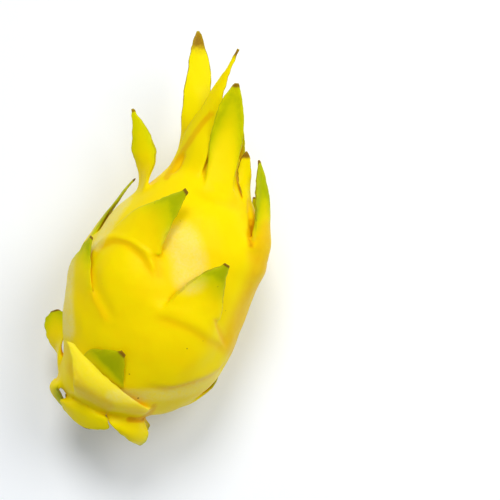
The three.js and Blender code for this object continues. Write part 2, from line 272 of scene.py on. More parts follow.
scalePlans = {
    "crownLeft": {
        "root": (-58, 63), "tip": (-76, 118, 20), "width": 13, "neck": 1.1, "belly": 0.4, "round": 3.2,
        "lift": 7, "lean": 10, "twist": 62, "cup": 0.05, "pad": 0.6, "run": 14,
        "green": (0.15, 0.6, 0.3), "brown": 1.2, "scorch": 0.24,
    },
    "crownHorn": {
        "root": (-36, 56), "tip": (3, 114, 20), "width": 18, "belly": 0.3, "round": 1.1, "slim": 1.5,
        "lift": 16, "lean": 14, "pad": 1.8, "run": 20, "green": (0.6, 0.8, 0.1), "brown": 0.6,
        "scorch": 0.12,
    },
    "crownBlade": {
        "root": (22, 54), "tip": (11, 98.5, 25.8), "width": 15.5, "neck": 0.87, "belly": 0.55,
        "round": 1.9, "slim": 0.8, "lift": 26, "pad": 2, "run": 20, "green": (0.9, 0.35, 0.45),
        "brown": 0.25,
    },
    "crownStub": {
        "root": (62, 48), "tip": (57, 71.4, 20), "width": 8, "round": 4, "slim": 0.5, "lift": 8,
        "twist": -40, "pad": 1.5, "run": 12, "green": (0, 0.5, 0), "brown": 0.9, "scorch": 0.22,
    },
    "rightUpper": {
        "root": (70, 33), "tip": (65, 69, 25.2), "width": 11.5, "neck": 1.8, "belly": 0.25,
        "round": 1.5, "lift": 5, "lean": -14, "twist": -40, "pad": 5, "run": 18,
        "green": (1, 0.15, 0.3), "brown": 0.5,
    },
    "leftLeaf": {
        "root": (-68, 43), "tip": (-71, 74.3, 39.8), "width": 15, "neck": 0.45, "belly": 0.35, "lift": 46,
        "twist": 66, "pad": 1, "run": 14, "green": (0.75, 0.3, 0.3), "brown": 0.5,
    },
    "leftBack": {
        "root": (-97, 14), "tip": (-92, 44.8, 32.5), "width": 17, "neck": 1.15, "lift": 6, "twist": 10,
        "pad": 3, "run": 24, "green": (1, 0.1, 0.4), "brown": 0.2,
    },
    "topLeft": {
        "root": (-33, 14), "tip": (-9, 45.6, 43.3), "width": 31, "round": 1.05, "lean": 26, "pad": 5,
        "run": 34, "green": (1, 0.3, 0.12), "brown": 0.15,
    },
    "leftSmall": {
        "root": (-60, -8), "tip": (-55, 14, 45.5), "width": 26, "cup": 0.05, "pad": 4,
        "green": (1, 0.35, 0.12), "brown": 0.15,
    },
    "topRight": {
        "root": (24, -5), "tip": (28, 20, 49), "width": 27, "lean": 4, "pad": 5,
        "green": (1, 0.3, 0.12), "brown": 0.4,
    },
    "leftHook": {
        "root": (-98, -42), "tip": (-103, -24, 46), "width": 13, "neck": 1.2, "belly": 0.75,
        "round": 12, "slim": 0.5, "lift": 30, "bow": 0.4, "twist": 64, "cup": 0, "pad": 2.5, "run": 14,
        "green": (1, 0.55, 0.25), "brown": 0.3,
    },
    "stemTop": {
        "root": (-19, -42), "tip": (-9, -30.5, 41.5), "width": 27, "thick": 1.4, "lift": 12,
        "lean": 12, "pad": 0.4, "run": 10, "green": (1.2, 0.1, 0.1), "brown": 0.15, "scorch": 0.16,
    },
    "stemCollar": {
        "root": (1, -53), "tip": (-43, -33.5, 45.5), "width": 38, "lift": 42, "lean": -20, "bow": 0.42,
        "shear": 1, "pad": 3, "run": 8, "green": (0, 0.5, 0), "brown": 0, "scorch": 0,
    },
    "stemSide": {
        "root": (-92, -53), "tip": (-100, -66, 18), "width": 20, "neck": 1.1, "thick": 4.5, "round": 3,
        "slim": 0.5, "lift": 124, "twist": -12, "shear": 1, "cup": -0.25, "pad": 2, "run": 8,
        "green": (0.9, 0.5, 0.6), "brown": 0.6,
    },
    "stemLeft": {
        "root": (-32, -58), "tip": (-22, -70.5, 13), "width": 29, "neck": 0.9, "belly": 0.4,
        "round": 6, "slim": 0.35, "lift": 80, "bow": 0.3, "shear": 1, "cup": -0.2, "pad": 2, "run": 8,
        "green": (0.6, 0.9, 0.4), "brown": 0.3,
    },
    "stemRight": {
        "root": (45, -58), "tip": (97, -73, 20.4), "width": 26, "round": 1.7, "slim": 0.8, "lift": 80,
        "shear": 1, "cup": -0.15, "pad": 2, "run": 8, "green": (0.9, 0.7, 0.4), "brown": 0.2,
    },
    "crownRight": {
        "root": (108, 57), "tip": (125, 84, 15), "width": 12, "belly": 0.3, "pad": 1.4, "run": 16,
    },
    "crownUnder": {
        "root": (162, 62), "tip": (160, 90, 17), "width": 12, "belly": 0.3, "pad": 1.4, "run": 16,
    },
    "crownBack": {
        "root": (-125, 60), "tip": (-132, 86, 16), "width": 12, "belly": 0.3, "pad": 1.4, "run": 16,
    },
    "rightBack": {"root": (128, 33), "tip": (128, 53, 29), "width": 18, "pad": 3.5, "run": 22},
    "neckUnder": {"root": (178, 29), "tip": (178, 58, 24), "width": 18, "pad": 3, "run": 20},
    "neckBack": {"root": (-138, 28), "tip": (-152, 52, 26), "width": 18, "pad": 3, "run": 20},
    "bellyRight": {"root": (135, -8), "tip": (135, 18, 43), "width": 24, "pad": 2.5, "run": 24},
    "bellyBack": {
        "root": (-136, -12), "tip": (-138, 14, 43), "width": 24, "cup": 0.04, "pad": 1.5, "run": 24,
    },
    "lowUnder": {
        "root": (177, -46), "tip": (177, -34, 38.4), "width": 20, "lift": 8, "pad": 2, "run": 14,
    },
    "lowRight": {"root": (118, -44), "tip": (118, -26, 41), "width": 20, "pad": 2.5, "run": 16},
    "lowBack": {"root": (-126, -38), "tip": (-124, -18, 42), "width": 22, "pad": 3, "run": 18},
    "stemUnder": {"root": (112, -58), "tip": (118, -67, 22), "width": 16, "lift": 80, "pad": 2, "run": 8},
    "stemLow": {"root": (168, -58), "tip": (165, -66, 22), "width": 16, "lift": 80, "pad": 2, "run": 8},
    "stemBack": {
        "root": (-118, -58), "tip": (-108, -67, 15), "width": 18, "lift": 80, "cup": -0.1, "pad": 2,
        "run": 8, "green": (0.5, 0.6, 0.4),
    },
}

columns = fruitPlan["columns"]
rows = fruitPlan["rowsPerSpan"] * (len(fruitPlan["outline"]) - 1)


def aroundAxis(turn, along, radius):
    start, end = fruitPlan["swayFrom"], fruitPlan["swayTo"]
    sway = splinePoint([(x,) for x in fruitPlan["sway"]], (along - start) / (end - start))[0]
    angle = math.radians(turn)
    x = sway + radius * math.sin(angle) - fruitPlan["restsAt"][0]
    z = fruitPlan["axisHeight"] + radius * math.cos(angle)
    return Vector((x, along - fruitPlan["restsAt"][1], z))


def plainSkin(column, row):
    along, radius = splinePoint(fruitPlan["outline"], row / rows)
    return aroundAxis(360 * column / columns, along, radius)


def skinFrame(column, row):
    near = 0.05
    sideways = (plainSkin(column + near, row) - plainSkin(column - near, row)).normalized()
    up = (plainSkin(column, row + near) - plainSkin(column, row - near)).normalized()
    return sideways, up, sideways.cross(up).normalized()


def rowAt(along):
    low = fruitPlan["stemEdge"] * fruitPlan["rowsPerSpan"]
    high = fruitPlan["crownRim"] * fruitPlan["rowsPerSpan"]
    for _ in range(30):
        middle = (low + high) / 2
        if splinePoint(fruitPlan["outline"], middle / rows)[0] < along:
            low = middle
        else:
            high = middle
    return low


def stripOf(number, name):  # the faces that a scale grows from, added to its settings
    scale = {**plainScale, **scalePlans[name], "number": number, "name": name}
    scale.setdefault("thick", 1 + scale["pad"] / 2)
    scale["row"] = math.floor(rowAt(scale["root"][1]))
    radius = splinePoint(fruitPlan["outline"], (scale["row"] + 0.5) / rows)[1]
    span = scale["width"] * scale["neck"] * columns / (2 * math.pi * radius)
    scale["count"] = max(3, math.floor(span + 0.5))
    scale["first"] = math.floor(scale["root"][0] / 360 * columns - scale["count"] / 2 + 0.5)
    scale["middle"] = scale["first"] + scale["count"] / 2
    return scale


scales = [stripOf(number, name) for number, name in enumerate(scalePlans)]


def skinPoint(column, row):  # the skin, moved to follow the roots of the scales and raised by pads
    plan = fruitPlan
    arch, archReach = plan["arch"]
    dipShare, dipReach = plan["dip"]
    shift = swell = dip = 0.0
    for scale in scales:
        away = (column - scale["middle"] + 1.5 * columns) % columns - columns / 2
        across = abs(away) / (scale["count"] / 2)
        if across >= 2:
            continue
        fade = 0.5 + 0.5 * math.cos(math.pi * across / 2)
        above = row - scale["row"] - 0.5
        far = abs(above) - 0.5
        shift -= math.copysign(1, above) * fade * plan["step"] * bell(far, plan["stepReach"])
        shift -= arch * min(1, across ** 2) * fade * bell(far, archReach)
        if above < 0:
            swell += (scale["pad"] * fade * bell(far * plan["rowLength"], scale["run"])) ** 4
        else:
            dip += dipShare * scale["pad"] * fade * bell(far, dipReach)
    normal = skinFrame(column, row)[2]
    return plainSkin(column, row + shift) + normal * (swell ** 0.25 - dip)


def shareOfWidth(scale, s):
    full = scale["neck"] + (1 - scale["neck"]) * smoothStep(s, 0, scale["belly"])
    q = min(1, max(0, (s - scale["belly"]) / (1 - scale["belly"])))
    return max(fruitPlan["leastWidth"], full * (1 - q ** scale["round"]) ** scale["slim"])


def addSkinCage():
    bpy.ops.mesh.primitive_uv_sphere_add(segments=columns, ring_count=rows, radius=1)
    cage = bpy.context.object
    cage.name = "fruit_skin"
    for name in ("share", "across", "scaleNumber"):
        cage.data.attributes.new(name, "FLOAT", "POINT")
    edit = bmesh.new()
    edit.from_mesh(cage.data)
    columnLayer = edit.verts.layers.int.new("column")
    rowLayer = edit.verts.layers.int.new("row")
    number = edit.verts.layers.float["scaleNumber"]
    cellLayer = edit.faces.layers.int.new("cell")
    for vert in edit.verts:
        turn = math.atan2(vert.co.y, vert.co.x) / (2 * math.pi)
        vert[columnLayer] = round(turn * columns) % columns
        vert[rowLayer] = round((0.5 + math.asin(max(-1, min(1, vert.co.z))) / math.pi) * rows)
        vert[number] = -1
    for face in edit.faces:
        found = {vert[columnLayer] for vert in face.verts if 0 < vert[rowLayer] < rows}
        low = min(vert[rowLayer] for vert in face.verts)
        column = next((c for c in found if (c + 1) % columns in found), -1)
        face[cellLayer] = low * columns + column
    for vert in edit.verts:
        row = vert[rowLayer]
        if row in (0, rows):
            along = splinePoint(fruitPlan["outline"], row / rows)[0]
            vert.co = aroundAxis(0, along, 0) * mm
        else:
            vert.co = skinPoint(vert[columnLayer], row) * mm
    edit.to_mesh(cage.data)
    edit.free()
    return cage


def cageLayers(edit):
    ints, floats = edit.verts.layers.int, edit.verts.layers.float
    return ints["column"], ints["row"], floats["share"], floats["across"], floats["scaleNumber"]


def growScale(cage, scale):
    edit = bmesh.from_edit_mesh(cage.data)
    columnLayer, rowLayer, shareLayer, acrossLayer, numberLayer = cageLayers(edit)
    cellLayer = edit.faces.layers.int["cell"]
    count, row = scale["count"], scale["row"]
    cells = {row * columns + (scale["first"] + k) % columns for k in range(count)}
    strip = {}
    for face in edit.faces:
        face.select_set(False)
    for face in edit.faces:
        if face[cellLayer] in cells and all(vert[shareLayer] == 0 for vert in face.verts):
            face.select_set(True)
            for vert in face.verts:
                k = (vert[columnLayer] - scale["first"]) % columns
                strip[k, vert[rowLayer]] = vert.co / mm
                vert[numberLayer] = scale["number"]
                vert[acrossLayer] = 2 * k / count - 1
    bmesh.update_edit_mesh(cage.data)

    low, high = count // 2, (count + 1) // 2
    start = sum((strip[k, r] for k in (low, high) for r in (row, row + 1)), Vector()) / 4
    sideways, up, normal = skinFrame(scale["middle"], row + 0.5)
    up = Quaternion(normal, -math.radians(scale["lean"])) @ up
    lift = math.radians(scale["lift"])
    heading = up * math.cos(lift) + normal * math.sin(lift)
    tip = aroundAxis(*scale["tip"])
    knee = start + heading * scale["bow"] * (tip - start).length
    side = sideways.copy()
    atTip, atMargin = fruitPlan["thinning"]
    for s in fruitPlan["stations"]:
        tangent = ((knee - start) * (1 - s) + (tip - knee) * s).normalized()
        side = (side - tangent * side.dot(tangent) * (1 - scale["shear"])).normalized()
        turn = math.radians(scale["twist"]) * smoothStep(s, 0, fruitPlan["twistedBy"])
        across = Quaternion(tangent, turn) @ side
        outward = across.cross(tangent).normalized()
        centre = start * (1 - s) ** 2 + knee * 2 * s * (1 - s) + tip * s ** 2
        half = 0.5 * scale["width"] * shareOfWidth(scale, s)
        bpy.ops.mesh.extrude_region_move()
        edit = bmesh.from_edit_mesh(cage.data)
        columnLayer, rowLayer, shareLayer, acrossLayer, numberLayer = cageLayers(edit)
        for vert in edit.verts:
            if not vert.select:
                continue
            k = (vert[columnLayer] - scale["first"]) % columns
            u = 2 * k / count - 1
            face = 1 if vert[rowLayer] == row else -1
            depth = scale["thick"] * (1 - atTip * s) * (1 - atMargin * u * u)
            section = across * half * u + outward * (face * depth / 2 - scale["cup"] * half * u * u)
            fromStrip = strip[k, vert[rowLayer]] - start
            vert.co = (fromStrip.lerp(section, smoothStep(s, 0, fruitPlan["formedBy"])) + centre) * mm
            vert[shareLayer] = s
        bmesh.update_edit_mesh(cage.data)


def growFruit():
    cage = addSkinCage()
    pick(cage)
    bpy.ops.object.mode_set(mode="EDIT")
    bpy.ops.mesh.select_mode(type="FACE")
    for scale in scales:
        growScale(cage, scale)
    bpy.ops.object.mode_set(mode="OBJECT")
    print("cage of", len(cage.data.polygons), "faces")
    applyModifier(cage, "SUBSURF", levels=fruitPlan["levels"], render_levels=fruitPlan["levels"])
    print("skin of", len(cage.data.polygons), "faces")
    return cage


# Sculpting: soft folds, unevenness and worn margins
sculptPlan = {
    "wander": (0.7, 14.0),  # how far the whole shape strays, and over what length
    "straysFrom": 6,  # the height from which it does so in full
    "ripple": (0.16, 5.0),
    "ragged": (0.5, 2.6),  # the same for the margins of the scales
    "margin": (0.6, 1),  # where across a scale its margin starts to be ragged, and is so in full
    "stalk": (0.2, 0.5),  # the same along it
    "flat": 0.02,  # what is lower than this stays as it is
}

# Folds of the skin, as lines on it: seen from above in (x, y), with how deep, how wide, and how
# much the skin swells on the line's left. A depth below zero is a ridge.
# Along each line the skin's colour is also darkened, as painted shade.
foldPlans = {
    "belowTopLeft": {
        "line": [(-30.2, 2.6), (-30.9, 7.9), (-28.3, 11.4), (-24.4, 14), (-18.4, 14), (-13.3, 12.3),
                 (-8.6, 9.1), (-4.1, 5), (0.2, 1.2)],
        "depth": 0.7, "width": 1.5, "swell": 1.1,
    },
    "besideTopLeft": {
        "line": [(-1.9, 32.8), (-4.1, 20.7), (-3.4, 10.8), (0.4, 1.4)],
        "depth": 0.6, "width": 2.2, "swell": -0.5,
    },
    "besideLeftSmall": {
        "line": [(-31.1, 2.3), (-29.6, -5.7), (-24.8, -13.5), (-20.3, -17.7), (-16.9, -22.7)],
        "depth": -0.6, "width": 1.3, "swell": -0.5,
    },
    "belowTopRight": {
        "line": [(-0.4, -13), (8.8, -12.5), (18.5, -13.8), (26.1, -16.1), (32.7, -17.8), (37.3, -20.5)],
        "depth": 0.5, "width": 1.8, "swell": 0.5,
    },
    "besideTopRight": {
        "line": [(27.2, 0), (28.5, -5.7), (32.8, -12.3), (37.6, -18.8)],
        "depth": 0.9, "width": 1.4, "swell": -0.7,
    },
    "lowPad": {
        "line": [(38.6, -20), (38.6, -24.8), (36.5, -28.7), (32.6, -32.7), (25.9, -38), (17, -42.5),
                 (6, -44)],
        "depth": 1.0, "width": 1.8, "swell": -1.0,
    },
    "besideHorn": {
        "line": [(-12, 50), (-9.2, 53.3), (-7.7, 62.3), (-6.5, 70.7), (-5.4, 78.1)],
        "depth": 1.0, "width": 1.4, "swell": 0.3,
    },
    "besideRightUpper": {
        "line": [(26.4, 51.6), (29, 42.9), (33, 34.6), (34.9, 31.3)],
        "depth": 0.8, "width": 1.5, "swell": 0.3,
    },
}

# The shallow fold round the foot of every other pad that is high enough
footFold = {
    "depth": 0.4, "width": 2.0, "swell": -0.5, "reach": 0.5, "spread": 0.62, "leastPad": 2,
    "notAt": ["topLeft", "topRight", "leftSmall", "stemCollar"],
}

# How the skin follows a fold, in widths of the fold
foldShape = {
    "swellAt": 2,
    "swellWidth": 1.8,
    "sinks": 0.3,  # the share of the swell by which the skin sinks on the line's right
    "shadeWidth": 1.3,
    "reach": 6,
    "fadingEnds": 0.2,  # as a share of the line
    "samples": 48,
}


def foldSamples(tree):  # points along every fold's line on the skin, with the fold's settings
    samples = []
    count = foldShape["samples"]
    for plan in foldPlans.values():
        line = []
        for i in range(count + 1):
            x, y = splinePoint(plan["line"], i / count)
            hit = tree.ray_cast(Vector((x, y, 200)), Vector((0, 0, -1)))[0]  # from high above
            line.append(hit)
        samples.append(([p for p in line if p], plan))
    for scale in scales:
        if scale["pad"] < footFold["leastPad"] or scale["name"] in footFold["notAt"]:
            continue
        line = []
        below = footFold["reach"] * scale["run"] / fruitPlan["rowLength"]
        for i in range(count + 1):
            angle = math.pi * i / count
            column = scale["middle"] - footFold["spread"] * scale["count"] * math.cos(angle)
            line.append(skinPoint(column, scale["row"] - below * math.sin(angle)))
        samples.append((line, footFold))
    return samples


def foldFruit(piece):
    points, normals = readPoints(piece), readNormals(piece)
    share = readLayer(piece, "share")
    faces = [tuple(face.vertices) for face in piece.data.polygons]
    tree = BVHTree.FromPolygons([tuple(p) for p in points], faces)
    nearest = numpy.full(len(points), 1e9)
    move = numpy.zeros(len(points))
    paintedFoldShade = numpy.zeros(len(points))
    skin = numpy.flatnonzero(share < 0.1)  # without the scales, but for their roots
    shape = foldShape
    for line, plan in foldSamples(tree):
        line = numpy.array([tuple(p) for p in line])
        along = numpy.gradient(line, axis=0)
        along /= numpy.linalg.norm(along, axis=1)[:, None]
        width = plan["width"]
        reach = shape["reach"] * width
        low, high = line.min(axis=0) - reach, line.max(axis=0) + reach
        near = skin[numpy.all((points[skin] > low) & (points[skin] < high), axis=1)]
        gaps = points[near][:, None, :] - line[None, :, :]
        square = (gaps ** 2).sum(axis=2)
        best = square.argmin(axis=1)
        gap = gaps[numpy.arange(len(near)), best]
        far = numpy.sqrt(square[numpy.arange(len(near)), best])
        side = numpy.sign((numpy.cross(along[best], gap) * normals[near]).sum(axis=1))
        ends = numpy.minimum(best, len(line) - 1 - best) / len(line)
        fade = smoothSteps(ends, 0, shape["fadingEnds"])
        groove = plan["depth"] * bells(far, width)
        swell = plan["swell"] * bells(far - shape["swellAt"] * width, shape["swellWidth"] * width)
        lean = swell * (side > 0) - swell * (side < 0) * shape["sinks"]
        # painted shade along the fold, strongest on its line
        dark = abs(plan["depth"]) * bells(far, shape["shadeWidth"] * width) * fade
        closer = far < nearest[near]
        move[near[closer]] = ((lean - groove) * fade)[closer]
        paintedFoldShade[near[closer]] = dark[closer]
        nearest[near[closer]] = far[closer]
    # the layer fold holds painted shade along the folds
    writeLayer(piece, "fold", paintedFoldShade)
    return points + normals * move[:, None]


def noiseField(points, size, seed):  # each seed takes it from another part of the noise
    offset = Vector((seed * 7.3, seed * 3.1, seed * 5.7))
    return numpy.array([noise.noise_vector(Vector(p) / size + offset) for p in points])


def sculptFruit(piece):
    plan = sculptPlan
    points = foldFruit(piece)
    across = numpy.abs(readLayer(piece, "across"))
    share = readLayer(piece, "share")
    far, size = plan["wander"]
    free = numpy.clip(points[:, 2:3] / plan["straysFrom"], 0, 1)
    moved = points + far * noiseField(points, size, 1) * free
    far, size = plan["ripple"]
    moved += far * noiseField(points, size, 2)
    far, size = plan["ragged"]
    margin = smoothSteps(across, *plan["margin"]) * smoothSteps(share, *plan["stalk"])
    moved += far * noiseField(points, size, 3) * margin[:, None]
    low = points[:, 2] < plan["flat"]
    moved[low] = points[low]
    moved[:, 2] = numpy.maximum(moved[:, 2], 0)  # nothing goes through the table
    writePoints(piece, moved)


def shadeCavities(piece, rays=20, reach=9.0):  # how much of the sky each point's neighbours hide
    points, normals = readPoints(piece), readNormals(piece)
    faces = [tuple(face.vertices) for face in piece.data.polygons]
    tree = BVHTree.FromPolygons([tuple(p) for p in points], faces)
    golden = math.pi * (3 - math.sqrt(5))
    spread = []
    for i in range(rays):
        height = math.sqrt((i + 0.5) / rays)
        flat = math.sqrt(1 - height * height)
        spread.append(Vector((flat * math.cos(golden * i), flat * math.sin(golden * i), height)))
    hidden = numpy.zeros(len(points))
    up = Vector((0, 0, 1))
    for i, (point, normal) in enumerate(zip(points, normals)):
        turn = up.rotation_difference(Vector(normal))
        start = Vector(point) + Vector(normal) * 0.05  # a little off the skin
        for ray in spread:
            found = tree.ray_cast(start, turn @ ray, reach)[3]
            if found is not None:
                hidden[i] += 1 - found / reach
    # the layer hidden is used as painted shade: the skin's colour turns orange where it is high
    writeLayer(piece, "hidden", hidden / rays)


# Paint on the skin: what fades from where to where
paintPlan = {
    "greenFade": 0.55,  # of a scale's length, from where its green starts to where it is full
    "scorchEnd": 1.001,  # a little past the tip, for the scales that have no scorch
    "solid": 0.4,  # the share of a patch's width that has its full strength
    "upperSide": 30,  # patches are only above this height
    "samples": 24,
}

# Paler places on the skin, as lines seen from above with how far the pale reaches from them. The first is
# a painted highlight, a cream patch where the glossy skin reflects the light
paleAndHighlightPlans = [
    # a painted highlight
    {"line": [(4, 23), (9, 16), (12, 9)], "width": 10, "strength": 0.6},
    {"line": [(-43.8, 2.5), (-39.8, -13.8), (-33.6, -30.8)], "width": 4.5, "strength": 0.75},
    {"line": [(-32.4, 9.8), (-30.2, 21.3), (-26.7, 32.7)], "width": 3.5, "strength": 0.7},
    {"line": [(-6, -52), (8, -48), (24, -42), (36, -32)], "width": 4, "strength": 0.5},
]
# scales that are paler all over, and how much
paleScales = {"stemCollar": 0.15, "stemUnder": 0.4, "stemLow": 0.4, "stemBack": 0.3}

# Painted shade: deeper golden places on the shaded right side and in the slots and creases between
# scales, which turn dark brown where they are strongest, as lines again
paintedShadePlans = [
    {"line": [(39, 36), (43, 20), (42, 2), (40, -14)], "width": 10, "strength": 0.6},
    {"line": [(-12, 48), (-10, 56), (-7, 66), (-4, 75), (-1, 81)], "width": 1.9, "strength": 0.7},
    {"line": [(4, -61.6), (8, -61), (11.5, -60)], "width": 1.9, "strength": 1.0},
    {"line": [(9, -60), (12, -56), (13, -52)], "width": 1.6, "strength": 0.7},
    {"line": [(33.5, 30), (31.5, 35), (30.5, 40)], "width": 2, "strength": 1.0},
    {"line": [(-27, -47), (-18, -54), (-7, -57)], "width": 4.5, "strength": 0.35},
]


def placesNear(plans, points, wholeScales, number):
    found = numpy.zeros(len(points))
    count = paintPlan["samples"]
    for plan in plans:
        line = numpy.array([splinePoint(plan["line"], i / count) for i in range(count + 1)])
        far = numpy.sqrt(((points[:, None, :2] - line[None]) ** 2).sum(axis=2)).min(axis=1)
        solid = paintPlan["solid"] * plan["width"]
        patch = plan["strength"] * (1 - smoothSteps(far, solid, plan["width"]))
        found = numpy.maximum(found, patch * (points[:, 2] > paintPlan["upperSide"]))
    for scale in scales:
        if scale["name"] in wholeScales:
            own = numpy.abs(number - scale["number"]) < 0.01
            found[own] = numpy.maximum(found[own], wholeScales[scale["name"]])
    return found


def paintFruit(piece):
    share = readLayer(piece, "share")
    across = numpy.abs(readLayer(piece, "across"))
    number = readLayer(piece, "scaleNumber")
    green, brown, scorched = numpy.zeros((3, len(share)))
    for scale in scales:
        own = (numpy.abs(number - scale["number"]) < 0.01) & (share > 0)
        strength, start, margin = scale["green"]
        reach = share[own] + margin * across[own] ** 2
        green[own] = strength * smoothSteps(reach, start, start + paintPlan["greenFade"])
        brown[own] = scale["brown"]
        scorched[own] = smoothSteps(share[own], 1 - scale["scorch"], paintPlan["scorchEnd"])
    writeLayer(piece, "green", green)
    writeLayer(piece, "brown", brown)
    writeLayer(piece, "scorched", scorched)
    points = readPoints(piece)
    # pale holds paler skin, and over the first line a painted highlight
    writeLayer(piece, "pale", placesNear(paleAndHighlightPlans, points, paleScales, number))
    # the layer deep holds painted shade
    writeLayer(piece, "deep", placesNear(paintedShadePlans, points, {}, number))


# The waxy skin
skinLook = {
    "yellow": srgb(246, 218, 0),
    "gold": srgb(240, 198, 0),
    "cream": srgb(240, 222, 128),
    "green": srgb(184, 190, 0),
    "deepGreen": srgb(116, 132, 4),
    "brown": srgb(110, 72, 22),
    "orange": srgb(242, 176, 0),
    "amber": srgb(226, 160, 0),
    "deepShadeBrown": srgb(150, 74, 10),
    "patchSize": 22,  # of the golden patches, in mm as all its sizes
    "mottleSize": 4,
    "paleGrains": (3, 1.2),
    "wornSize": 1.6,  # of the bites in the brown of margins, tips and marks
    "bumpGrains": (0.9, 3.5),
    "bump": 0.25,
    "bumpHeight": 0.3,
    "roughness": 0.38,
    # small dark marks: where, and how far across
    "marks": [
        ((-7.5, -32.5, 77), 1.2), ((-6.6, -34.6, 76.8), 0.9), ((-6.2, -36.4, 76.4), 1.0),
        ((-4.6, -38.2, 76), 0.8), ((-1.2, -40.6, 75), 1.0), ((2.6, -45, 72), 0.9), ((5.4, -50, 68), 1.1),
        ((-3.2, 6, 80.5), 1.1), ((-36, -41.5, 50), 1.2), ((-35.6, -44, 49), 1.0), ((14, 14, 80), 0.7),
        ((20, -22, 79), 0.8), ((-14, -14, 80), 0.8), ((30, 8, 70), 0.7),
    ],
}


def skinMaterial():
    look = skinLook
    material, value, shader = newMaterial(
        "waxy yellow skin", Subsurface_Weight=0.5, Subsurface_Radius=(1.0, 0.75, 0.05),
        Subsurface_Scale=0.004, Specular_IOR_Level=0.04,
    )
    share, across = value.layer("share"), value.layer("across")
    green, brown, hidden = value.layer("green"), value.layer("brown"), value.layer("hidden")
    patches = value.cloud(look["patchSize"], 3)
    mottle = value.cloud(look["mottleSize"], 4)
    worn = value.cloud(look["wornSize"], 4)
    base = value.make("ShaderNodeMix", {"data_type": "RGBA"}, {
        0: patches.between(0.42, 0.72) * 0.35, 6: look["yellow"], 7: look["gold"],
    }, 2)
    # painted shade: the skin turns orange in its cavities and along the folds
    paintedCreaseShade = hidden.between(0.25, 0.8) * 0.6 + value.layer("fold") * 0.6
    base = base.blend(look["orange"], paintedCreaseShade.clamped())
    # painted shade: deeper gold, and dark brown where it is strongest
    deep = value.layer("deep") * (mottle * 0.8 + 0.6)
    base = base.blend(look["amber"], (deep * 0.8).clamped())
    base = base.blend(look["deepShadeBrown"], (deep - 0.95).clamped() * 1.4)
    broad, fine = look["paleGrains"]
    flecks = value.cloud(fine, 3).between(0.3, 0.7)
    # paler skin, and a painted highlight where the first pale line lies
    pale = value.layer("pale") * (value.cloud(broad, 4) * 0.8 + flecks * 0.4 + 0.2)
    base = base.blend(look["cream"], pale.clamped())
    greenShare = (green + (mottle - 0.5) * 0.35 * green).clamped()
    base = base.blend(look["green"], greenShare)
    base = base.blend(look["deepGreen"], greenShare.between(0.75, 1.1) * 0.35)
    margin = across.maths("ABSOLUTE")
    edge = (margin + (worn - 0.5) * 0.16).between(0.93, 1.0) * share.between(0.1, 0.3)
    tip = (value.layer("scorched") + (worn - 0.5) * 0.4).between(0.15, 0.75)
    base = base.blend(look["brown"], (edge * brown * 0.8 + tip * 0.9).clamped())
    specks = (1 - value.spots(7).between(0.03, 0.07)) * value.cloud(9, 2).between(0.55, 0.65)
    where = value.place()
    for place, size in look["marks"]:
        centre = tuple(part * mm for part in place)
        away = value.make("ShaderNodeVectorMath", {"operation": "DISTANCE"}, {0: where, 1: centre}, 1)
        ragged = away / mm + (worn - 0.5) * (1.5 * size)
        specks = specks.maths("MAXIMUM", (1 - ragged.between(0.25 * size, 0.55 * size)) * 1.4)
    base = base.blend(look["brown"], (specks * 0.5).clamped())
    feed(material, shader, "Base Color", base)
    feed(material, shader, "Roughness", look["roughness"] + (mottle - 0.5) * 0.12 + hidden * 0.15)
    fine, broad = look["bumpGrains"]
    grain = value.cloud(fine, 3) * 0.5 + value.cloud(broad, 3)
    feed(material, shader, "Normal", value.bump(grain, look["bump"], look["bumpHeight"]))
    return material


def makeFruit():
    fruit = growFruit()
    sculptFruit(fruit)
    bpy.ops.object.shade_smooth()
    paintFruit(fruit)
    shadeCavities(fruit)
    fruit.data.materials.clear()
    fruit.data.materials.append(skinMaterial())
    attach(fruit, "root")
    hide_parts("fruit")
    print("fruit done")


makeFruit()


# The withered flower: a dry core in the crown's hollow, with broad twisted strips of its petals
# and thin threads of its stamens
flowerPlan = {
    "foot": 69,
    "coreRadius": 3.8,
    "coreDepth": 3.8,  # how far below the foot it starts
    "coreSteps": [(2.2, 1.45), (2, 1.1), (2, 0.9), (1.2, 0.6)],  # how far on, and how much wider
    "thickness": 0.5,
    "steps": 8,
    "knee": (0.55, 0.45),  # where a strip bends, as shares of its length and its spread
    "taper": 0.75,
    "crease": 0.25,
    # turn, length, spread from the axis, width and curl of each strip
    "strips": [
        (10, 13, 4.4, 3.2, 20), (85, 15, 4.8, 3.4, -20), (155, 12, 4.2, 3, 20), (225, 14, 4.6, 3.2, -16),
        (300, 12, 4.4, 3, 20),
    ],
    "threads": 15,
    "threadWidth": 0.7,
    "threadThickness": 0.22,
    "wrinkles": (0.35, 1.7),
}


